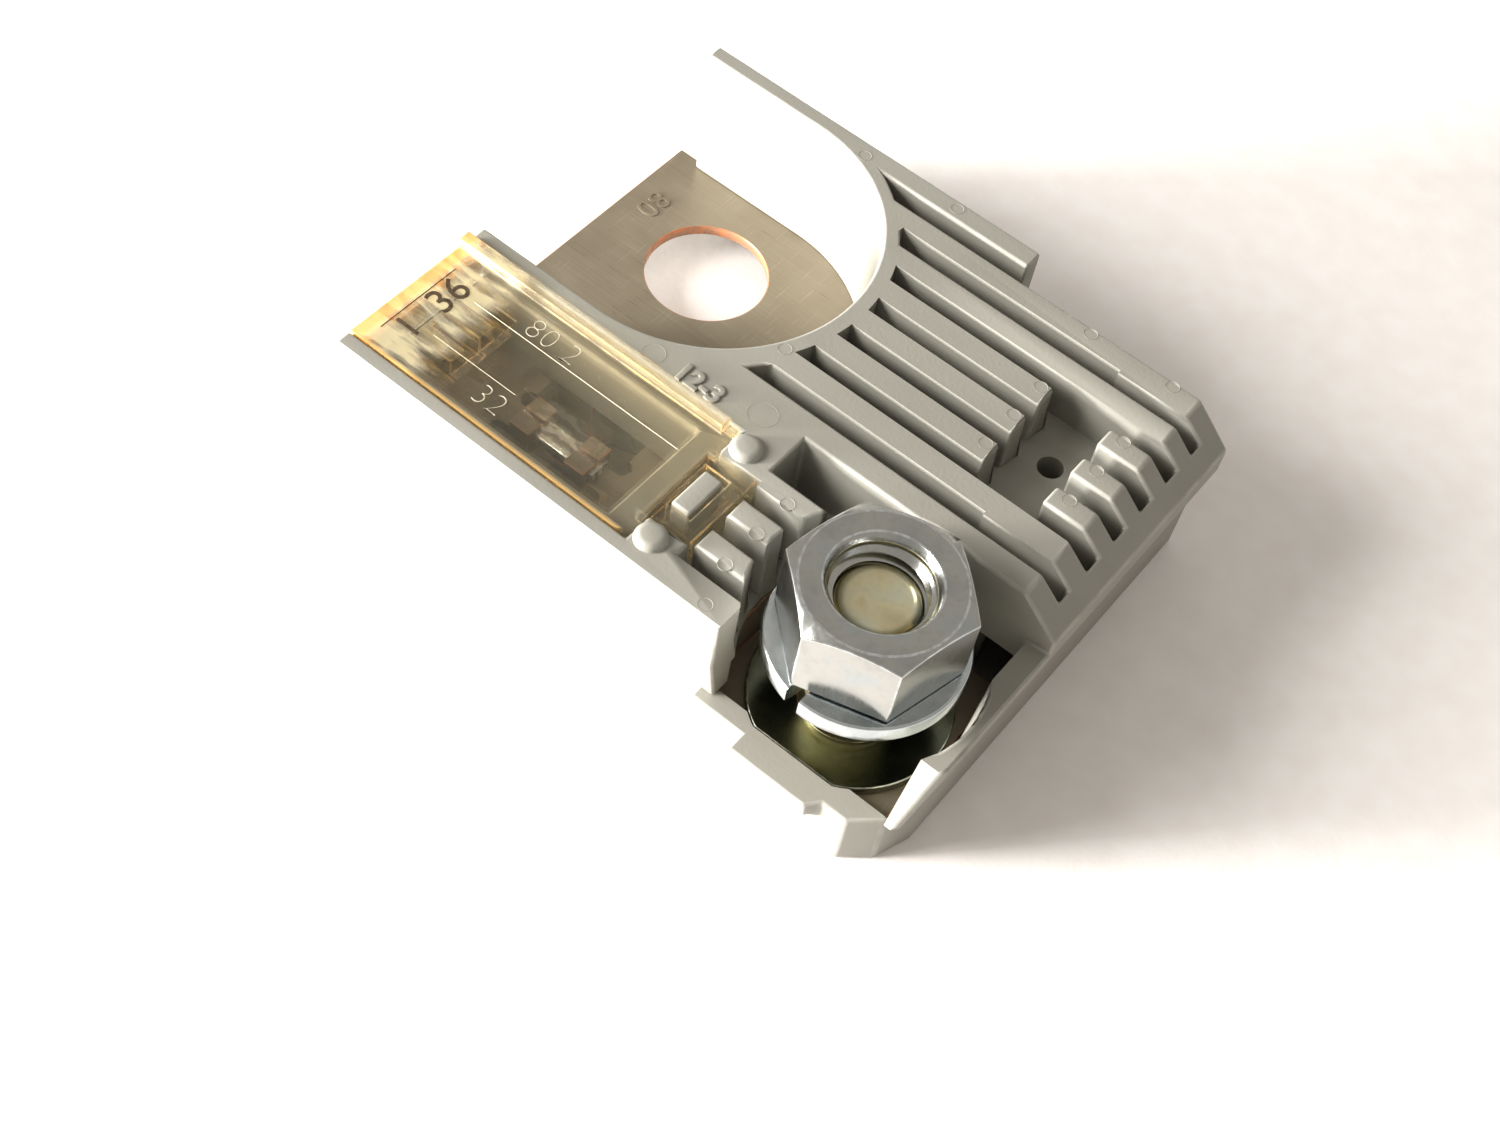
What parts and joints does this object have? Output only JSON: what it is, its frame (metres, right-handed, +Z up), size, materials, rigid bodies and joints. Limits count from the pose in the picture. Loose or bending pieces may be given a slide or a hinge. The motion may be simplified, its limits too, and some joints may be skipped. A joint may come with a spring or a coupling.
{
  "type": "fuse box panel",
  "caption": "Bolt-on fusible-link block: a ribbed plastic housing over a copper bus bar with a battery eye, a windowed fuse link and a threaded load stud with nut and washers.",
  "frame": {"origin": "centre of the eye hole on the underside of the eye plate, the face clamped on the supply post", "axes": "+X along the cooling ribs from the eye to the far end, +Y towards the tall wall beside the eye, +Z up along the eye hole and the load stud"},
  "size_m": [0.0454, 0.0374, 0.0168],
  "materials": {
    "housing_plastic": "fine matte moulded thermoplastic, light warm grey",
    "base_plastic": "fine matte moulded thermoplastic, light warm grey",
    "tinned_copper": "satin tin plating over stamped copper",
    "tin": "dull soft tin",
    "cover_plastic": "clear amber plastic",
    "stud_zinc": "yellow-passivated zinc",
    "washer_zinc": "olive-passivated zinc",
    "bright_zinc": "bright zinc",
    "blue_zinc": "blue-bright zinc"
  },
  "bodies": {
    "block": {"housing": "housing_plastic", "base_cover": "base_plastic", "bus_bar": "tinned_copper", "tin_pellet": "tin", "load_stud": "stud_zinc", "flat_washer": "washer_zinc"},
    "cover": {"window_cover": "cover_plastic"},
    "lock_washer": {"spring_washer": "bright_zinc"},
    "nut": {"hex_nut": "blue_zinc"}
  },
  "joints": [
    {"name": "cover_hinge", "type": "hinge", "parent": "block", "child": "cover", "pos_m": [-0.0061, -0.0213, 0.0098], "axis": [0, -1, 0], "range_deg": [0, 90]},
    {"name": "nut_travel", "type": "slide", "parent": "block", "child": "lock_washer", "axis": [0, 0, 1], "range_m": [-0.005, 0.0035]},
    {"name": "nut_turn", "type": "hinge", "parent": "lock_washer", "child": "nut", "pos_m": [0.02835, -0.02113, 0.0096], "axis": [0, 0, 1], "range_deg": [-1800.1, 1260.1]}
  ],
  "couplings": [
    {"joint": "nut_turn", "follows": "nut_travel", "rad_per_m": 6283.2}
  ]
}
